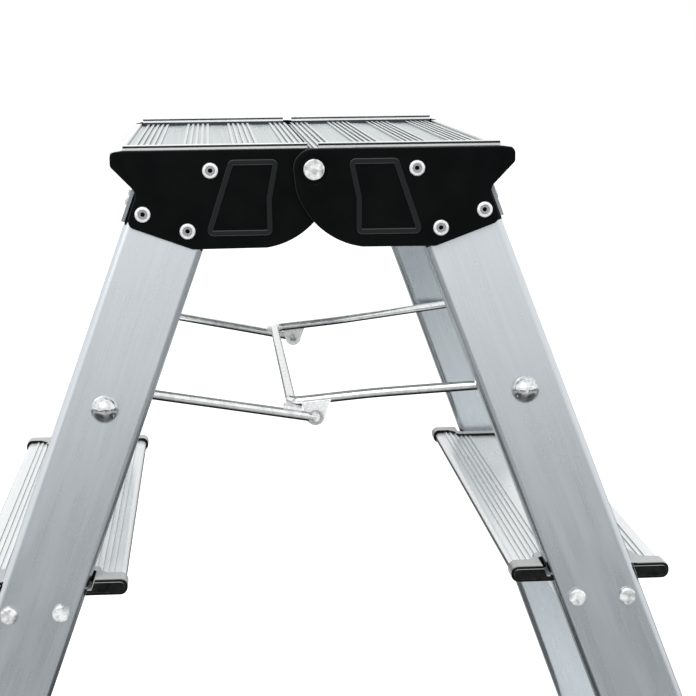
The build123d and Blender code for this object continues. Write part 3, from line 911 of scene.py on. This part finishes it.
@dataclass
class Studio:
    """Pale floor, soft light, white background and the camera, with lengths in metres."""

    camera_place: Vector = field(default_factory=lambda: Vector((-0.05966, -1.28422, 0.81432)))
    camera_yaw: float = math.radians(4.086)
    camera_pitch: float = math.radians(-9.395)
    camera_roll: float = math.radians(0.633)
    focal_px: float = 1897.0
    image_px: float = 696.0
    sensor_mm: float = 36.0
    disc_sides: int = 96
    floor_radius: float = 60.0
    floor_drop: float = 0.2 * MM
    floor_colour: str = "#F4F4F2"
    floor_roughness: float = 0.9
    floor_specular: float = 0.1
    floor_glow: float = 0.5
    world_colour: str = "#FFFFFF"
    world_light: float = 0.9
    world_seen: float = 1.0
    key_place: Vector = field(default_factory=lambda: Vector((-0.9, -2.2, 2.5)))
    key_aim: Vector = field(default_factory=lambda: Vector((0, 0, 0.5)))
    key_size: Span = (2.2, 1.6)
    key_power: float = 34.0
    flag_radius: float = 40.0
    flag_reach: float = 8.0
    # Tones of the flag's glow by distance from the middle: a painted reflection of the floor,
    # darker near the ladder as a painted shadow
    flag_tones: tuple[tuple[float, str], ...] = (
        (0.3, "#6A6C6D"),
        (0.55, "#808283"),
        (0.9, "#989A9B"),
        (1.4, "#CBCDCE"),
        (2.2, "#BABCBD"),
        (3.5, "#7A7C7D"),
        (8.0, "#7C7E7F"),
    )
    # Dimmer patches in the flag's glow, painted dark reflections at the sides of the ladder
    card_place: Vector = field(default_factory=lambda: Vector((0.85, 0.4, 0)))
    card_reach: Span = (0.5, 0.85)
    card_level: float = 0.25

    def seen(self, tree: bpy.types.NodeTree) -> bpy.types.NodeSocket:
        """Add the test for rays that look at the background, straight or in metal and glass.

        Args:
            tree: Node tree of the floor or the world.

        Returns:
            The socket that is 1 for such rays.
        """
        path = add_node(tree, "ShaderNodeLightPath")
        ray = path.outputs["Is Camera Ray"]
        for kind in ("Is Glossy Ray", "Is Transmission Ray"):
            either = {0: ray, 1: path.outputs[kind]}
            ray = add_node(tree, "ShaderNodeMath", either, operation="MAXIMUM").outputs["Value"]
        return ray

    def disc(self, name: str, radius: float, height: float) -> bpy.types.Object:
        """Make a flat disc round the origin.

        Args:
            name: Name of the object.
            radius: Its radius.
            height: Its height.

        Returns:
            The disc.
        """
        shape = bmesh.new()
        bmesh.ops.create_circle(
            shape,
            cap_ends=True,
            segments=self.disc_sides,
            radius=radius,
            matrix=Matrix.Translation((0, 0, height)),
        )
        return finish_mesh(shape, name)

    def floor(self) -> None:
        """Lay the floor, pale and matt, white where it is looked at outside the shadow."""
        material, tree, shader = new_material("matt_pale_floor")
        set_sockets(
            shader,
            {
                "Base Color": linear(self.floor_colour),
                "Roughness": self.floor_roughness,
                "Specular IOR Level": self.floor_specular,
                "Emission Color": linear(self.world_colour),
            },
        )
        glow = add_node(
            tree, "ShaderNodeMath", {0: self.seen(tree), 1: self.floor_glow}, operation="MULTIPLY"
        )
        tree.links.new(glow.outputs["Value"], shader.inputs["Emission Strength"])
        floor = self.disc("floor", self.floor_radius, -self.floor_drop)
        floor.data.materials.append(material)

    def flag(self) -> None:
        """Lay a glowing grey flag that only shows in metal, a painted reflection of the floor that
        is darkest near the middle as a painted shadow under the ladder, with a dark card at each
        side of it.
        """
        material, tree, shader = new_material("grey_flag")
        set_sockets(
            shader, {"Base Color": linear("#000000"), "Roughness": 1.0, "Specular IOR Level": 0.0}
        )
        place = add_node(tree, "ShaderNodeTexCoord").outputs["Object"]
        reach = add_node(tree, "ShaderNodeVectorMath", {0: place}, operation="LENGTH")
        share = add_node(
            tree,
            "ShaderNodeMapRange",
            {"Value": reach.outputs["Value"], "From Max": self.flag_reach},
        )
        colour = add_node(tree, "ShaderNodeValToRGB", {"Fac": share.outputs["Result"]})
        spots = colour.color_ramp.elements
        first, *middle, last = self.flag_tones
        spots[0].position = first[0] / self.flag_reach
        spots[0].color = linear(first[1])
        spots[1].color = linear(last[1])
        for distance, tone in middle:
            spots.new(distance / self.flag_reach).color = linear(tone)
        tree.links.new(colour.outputs["Color"], shader.inputs["Emission Color"])
        aside = add_node(tree, "ShaderNodeVectorMath", {0: place}, operation="ABSOLUTE")
        away = add_node(
            tree,
            "ShaderNodeVectorMath",
            {0: aside.outputs["Vector"], 1: self.card_place},
            operation="DISTANCE",
        )
        near, far = self.card_reach
        level = add_node(
            tree,
            "ShaderNodeMapRange",
            {
                "Value": away.outputs["Value"],
                "From Min": near,
                "From Max": far,
                "To Min": self.card_level,
            },
        )
        tree.links.new(level.outputs["Result"], shader.inputs["Emission Strength"])
        flag = self.disc("floor_flag", self.flag_radius, self.floor_drop)
        flag.data.materials.append(material)
        flag.visible_camera = False
        flag.visible_diffuse = False
        flag.visible_shadow = False
        flag.visible_transmission = False

    def world(self) -> None:
        """Make the world: soft light all round, and plain white where it is looked at."""
        world = bpy.data.worlds.new("studio")
        bpy.context.scene.world = world
        world.use_nodes = True
        tree = world.node_tree
        background = tree.nodes["Background"]
        set_sockets(background, {"Color": linear(self.world_colour)})
        strength = add_node(
            tree,
            "ShaderNodeMapRange",
            {
                "Value": self.seen(tree),
                "To Min": self.world_light,
                "To Max": self.world_seen,
            },
        )
        tree.links.new(strength.outputs["Result"], background.inputs["Strength"])

    def key(self) -> None:
        """Hang the soft key light in front and above."""
        lamp = bpy.data.lights.new("key_softbox", "AREA")
        lamp.shape = "RECTANGLE"
        lamp.size, lamp.size_y = self.key_size
        lamp.energy = self.key_power
        holder = bpy.data.objects.new("key_softbox", lamp)
        holder.location = self.key_place
        holder.rotation_mode = "QUATERNION"
        holder.rotation_quaternion = (self.key_aim - self.key_place).to_track_quat("-Z", "Y")
        bpy.context.scene.collection.objects.link(holder)

    def camera(self) -> None:
        """Set the camera at the viewing angle of the photograph."""
        lens = bpy.data.cameras.new("camera")
        lens.sensor_width = self.sensor_mm
        lens.lens = self.focal_px * self.sensor_mm / self.image_px
        camera = bpy.data.objects.new("camera", lens)
        turn = (
            Matrix.Rotation(-self.camera_yaw, 4, "Z")
            @ Matrix.Rotation(math.pi / 2 + self.camera_pitch, 4, "X")
            @ Matrix.Rotation(-self.camera_roll, 4, "Z")
        )
        camera.matrix_world = Matrix.Translation(self.camera_place) @ turn
        bpy.context.scene.collection.objects.link(camera)
        bpy.context.scene.camera = camera

    def build(self) -> None:
        """Set up the whole studio."""
        bpy.context.scene.view_settings.view_transform = "Standard"
        self.floor()
        self.flag()
        self.world()
        self.key()
        self.camera()


def main() -> None:
    """Dress the ladder and build the studio."""
    logging.basicConfig(level=logging.INFO, format="%(name)s: %(message)s")
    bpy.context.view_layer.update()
    for part in (Stiles(), Planks(), Mouldings(), Fittings()):
        part.dress()
        LOG.info("dressed %s", type(part).__name__)
    Rivets().build()
    Studio().build()


if __name__ == "__main__":
    main()
